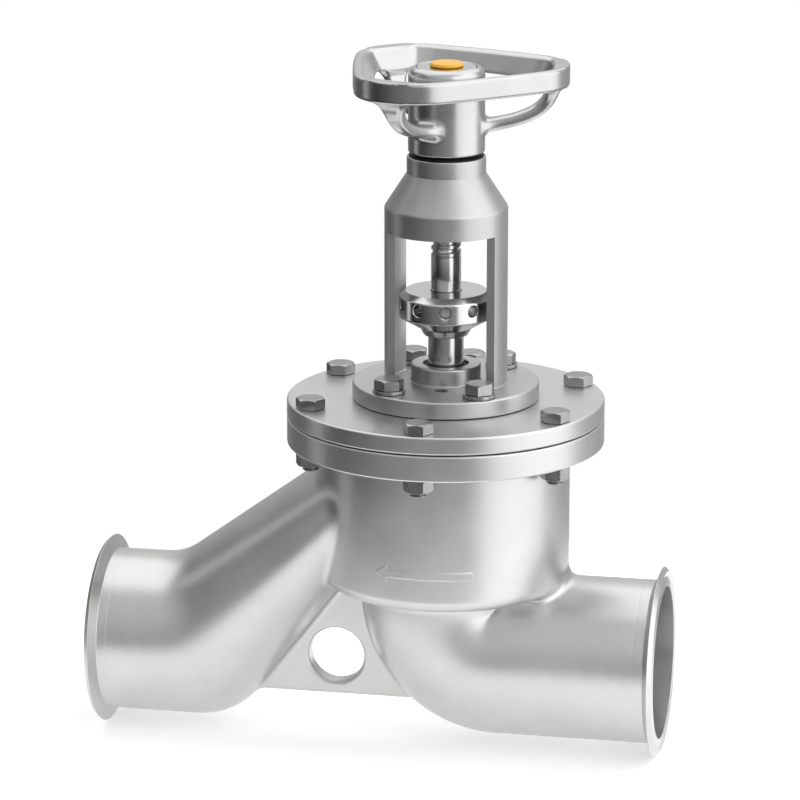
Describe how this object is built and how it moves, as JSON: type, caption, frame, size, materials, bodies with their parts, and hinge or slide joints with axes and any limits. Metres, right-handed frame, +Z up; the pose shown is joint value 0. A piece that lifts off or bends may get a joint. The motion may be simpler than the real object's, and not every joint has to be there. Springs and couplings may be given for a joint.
{
  "type": "diaphragm valve",
  "caption": "Stainless globe-pattern valve with clamp ports, bolted bonnet, diaphragm stem seal, open yoke and a handwheel that raises the stem.",
  "frame": {"origin": "where the port axis crosses the stem axis", "axes": "+X out of the inlet port, +Z up the stem towards the handwheel, -Y towards the side with the flow arrow"},
  "size_m": [0.3572, 0.196, 0.4318],
  "materials": {
    "satin_steel": "bead blasted and satin stainless steel",
    "turned_steel": "fine turned stainless steel",
    "polished_steel": "polished stainless steel",
    "bolt_steel": "plain stainless fastener",
    "bronze": "machined bronze",
    "black_rubber": "matte moulded rubber",
    "seal_white": "white seal plastic",
    "yellow_plastic": "moulded yellow plastic"
  },
  "bodies": {
    "body": {"chamber_shell": "satin_steel", "inlet_elbow": "satin_steel", "outlet_branch": "satin_steel", "inlet_ferrule": "turned_steel", "outlet_ferrule": "turned_steel", "gusset_plate": "satin_steel", "body_flange": "turned_steel", "seat_ring": "polished_steel", "bonnet_cover": "turned_steel", "diaphragm": "black_rubber", "guide_bush": "bronze", "stem_seal": "black_rubber", "yoke": "turned_steel", "lower_thrust_washer": "bronze", "upper_thrust_washer": "bronze", "retaining_ring": "polished_steel", "neck_ring": "black_rubber", "cover_bolt_1": "bolt_steel", "cover_bolt_2": "bolt_steel", "cover_bolt_3": "bolt_steel", "cover_bolt_4": "bolt_steel", "cover_bolt_5": "bolt_steel", "cover_bolt_6": "bolt_steel", "cover_nut_1": "bolt_steel", "cover_nut_2": "bolt_steel", "cover_nut_3": "bolt_steel", "cover_nut_4": "bolt_steel", "cover_nut_5": "bolt_steel", "cover_nut_6": "bolt_steel", "yoke_bolt_1": "bolt_steel", "yoke_bolt_2": "bolt_steel", "yoke_bolt_3": "bolt_steel", "yoke_bolt_4": "bolt_steel", "yoke_washer_1": "bolt_steel", "yoke_washer_2": "bolt_steel", "yoke_washer_3": "bolt_steel", "yoke_washer_4": "bolt_steel"},
    "stem": {"spindle": "polished_steel", "collar": "polished_steel", "valve_stem": "polished_steel", "diaphragm_clamp": "polished_steel", "valve_disc": "polished_steel", "disc_seal": "seal_white", "seal_plate": "polished_steel", "disc_nut": "bolt_steel"},
    "handwheel": {"handwheel": "polished_steel", "drive_sleeve": "bronze", "wheel_key": "bolt_steel", "wheel_nut": "bolt_steel", "hub_lid": "polished_steel", "indicator_cap": "yellow_plastic"}
  },
  "joints": [
    {"name": "handwheel_turn", "type": "hinge", "parent": "body", "child": "handwheel", "pos_m": [0, 0, 0.345], "axis": [0, 0, 1], "range_deg": [0, 2160]},
    {"name": "stem_lift", "type": "slide", "parent": "body", "child": "stem", "axis": [0, 0, 1], "range_m": [0, 0.03], "deforming": ["diaphragm"]}
  ],
  "couplings": [
    {"joint": "stem_lift", "follows": "handwheel_turn", "m_per_rad": 0.00079577}
  ]
}
